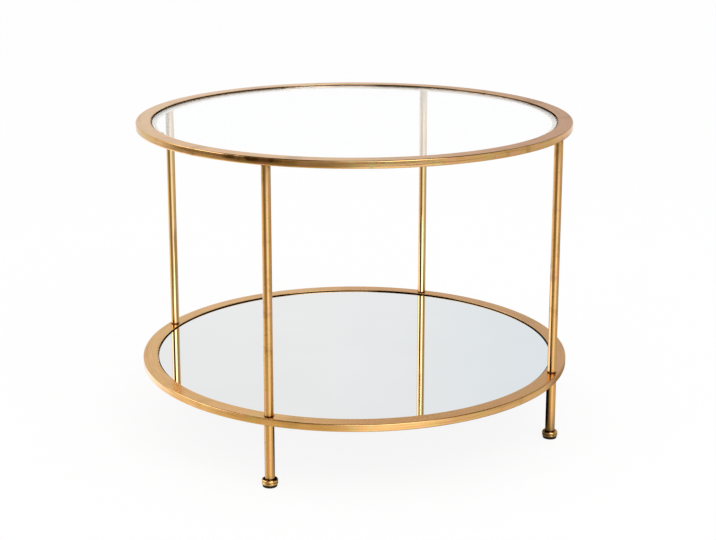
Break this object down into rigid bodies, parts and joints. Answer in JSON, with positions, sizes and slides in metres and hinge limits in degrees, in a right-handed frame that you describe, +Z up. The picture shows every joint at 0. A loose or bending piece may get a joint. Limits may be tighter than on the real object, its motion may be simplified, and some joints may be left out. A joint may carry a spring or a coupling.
{
  "type": "round side table",
  "caption": "Round tiered side table: gold metal rings on slim round legs hold an inset clear glass top and a mirror shelf, with screw-levelled disc feet.",
  "frame": {"origin": "on the floor under the middle of the table", "axes": "+Z up along the table's axis; the legs stand on -Y (front), +X (right), +Y (back) and -X (left)"},
  "size_m": [0.601, 0.601, 0.43],
  "materials": {
    "antique_gold": "aged gold metallic with brown patina, semi-gloss",
    "clear_glass": "clear, polished, ground edge",
    "mirror": "polished silvered glass with a dark painted back",
    "black_pad": "matte black",
    "zinc_steel": "zinc plated",
    "clear_bumper": "soft clear plastic"
  },
  "bodies": {
    "frame": {"top_ring": "antique_gold", "top_ledge": "antique_gold", "top_glass_bumpers": "clear_bumper", "lower_ring": "antique_gold", "lower_ledge": "antique_gold", "mirror_shelf_bumpers": "clear_bumper", "top_ring_studs": "zinc_steel", "lower_ring_upper_studs": "zinc_steel", "lower_ring_lower_studs": "zinc_steel", "upper_leg_front": "antique_gold", "lower_leg_front": "antique_gold", "upper_leg_right": "antique_gold", "lower_leg_right": "antique_gold", "upper_leg_back": "antique_gold", "lower_leg_back": "antique_gold", "upper_leg_left": "antique_gold", "lower_leg_left": "antique_gold"},
    "glass_top": {"top_glass": "clear_glass"},
    "mirror_shelf": {"mirror_shelf": "mirror"},
    "pad_front": {"foot_pad_front": "black_pad"},
    "foot_front": {"foot_front": "antique_gold"},
    "pad_right": {"foot_pad_right": "black_pad"},
    "foot_right": {"foot_right": "antique_gold"},
    "pad_back": {"foot_pad_back": "black_pad"},
    "foot_back": {"foot_back": "antique_gold"},
    "pad_left": {"foot_pad_left": "black_pad"},
    "foot_left": {"foot_left": "antique_gold"}
  },
  "joints": [
    {"name": "glass_top_lift", "type": "slide", "parent": "frame", "child": "glass_top", "axis": [0, 0, 1], "range_m": [0, 0.1]},
    {"name": "mirror_shelf_lift", "type": "slide", "parent": "frame", "child": "mirror_shelf", "axis": [0, 0, 1], "range_m": [0, 0.32]},
    {"name": "pad_front_travel", "type": "slide", "parent": "frame", "child": "pad_front", "axis": [0, 0, -1], "range_m": [0, 0.008]},
    {"name": "foot_front_turn", "type": "hinge", "parent": "pad_front", "child": "foot_front", "pos_m": [0, -0.29, 0], "axis": [0, 0, -1], "range_deg": [0, 2880]},
    {"name": "pad_right_travel", "type": "slide", "parent": "frame", "child": "pad_right", "axis": [0, 0, -1], "range_m": [0, 0.008]},
    {"name": "foot_right_turn", "type": "hinge", "parent": "pad_right", "child": "foot_right", "pos_m": [0.29, 0, 0], "axis": [0, 0, -1], "range_deg": [0, 2880]},
    {"name": "pad_back_travel", "type": "slide", "parent": "frame", "child": "pad_back", "axis": [0, 0, -1], "range_m": [0, 0.008]},
    {"name": "foot_back_turn", "type": "hinge", "parent": "pad_back", "child": "foot_back", "pos_m": [0, 0.29, 0], "axis": [0, 0, -1], "range_deg": [0, 2880]},
    {"name": "pad_left_travel", "type": "slide", "parent": "frame", "child": "pad_left", "axis": [0, 0, -1], "range_m": [0, 0.008]},
    {"name": "foot_left_turn", "type": "hinge", "parent": "pad_left", "child": "foot_left", "pos_m": [-0.29, 0, 0], "axis": [0, 0, -1], "range_deg": [0, 2880]}
  ],
  "couplings": [
    {"joint": "pad_front_travel", "follows": "foot_front_turn", "m_per_rad": 0.00015915},
    {"joint": "pad_right_travel", "follows": "foot_right_turn", "m_per_rad": 0.00015915},
    {"joint": "pad_back_travel", "follows": "foot_back_turn", "m_per_rad": 0.00015915},
    {"joint": "pad_left_travel", "follows": "foot_left_turn", "m_per_rad": 0.00015915}
  ]
}
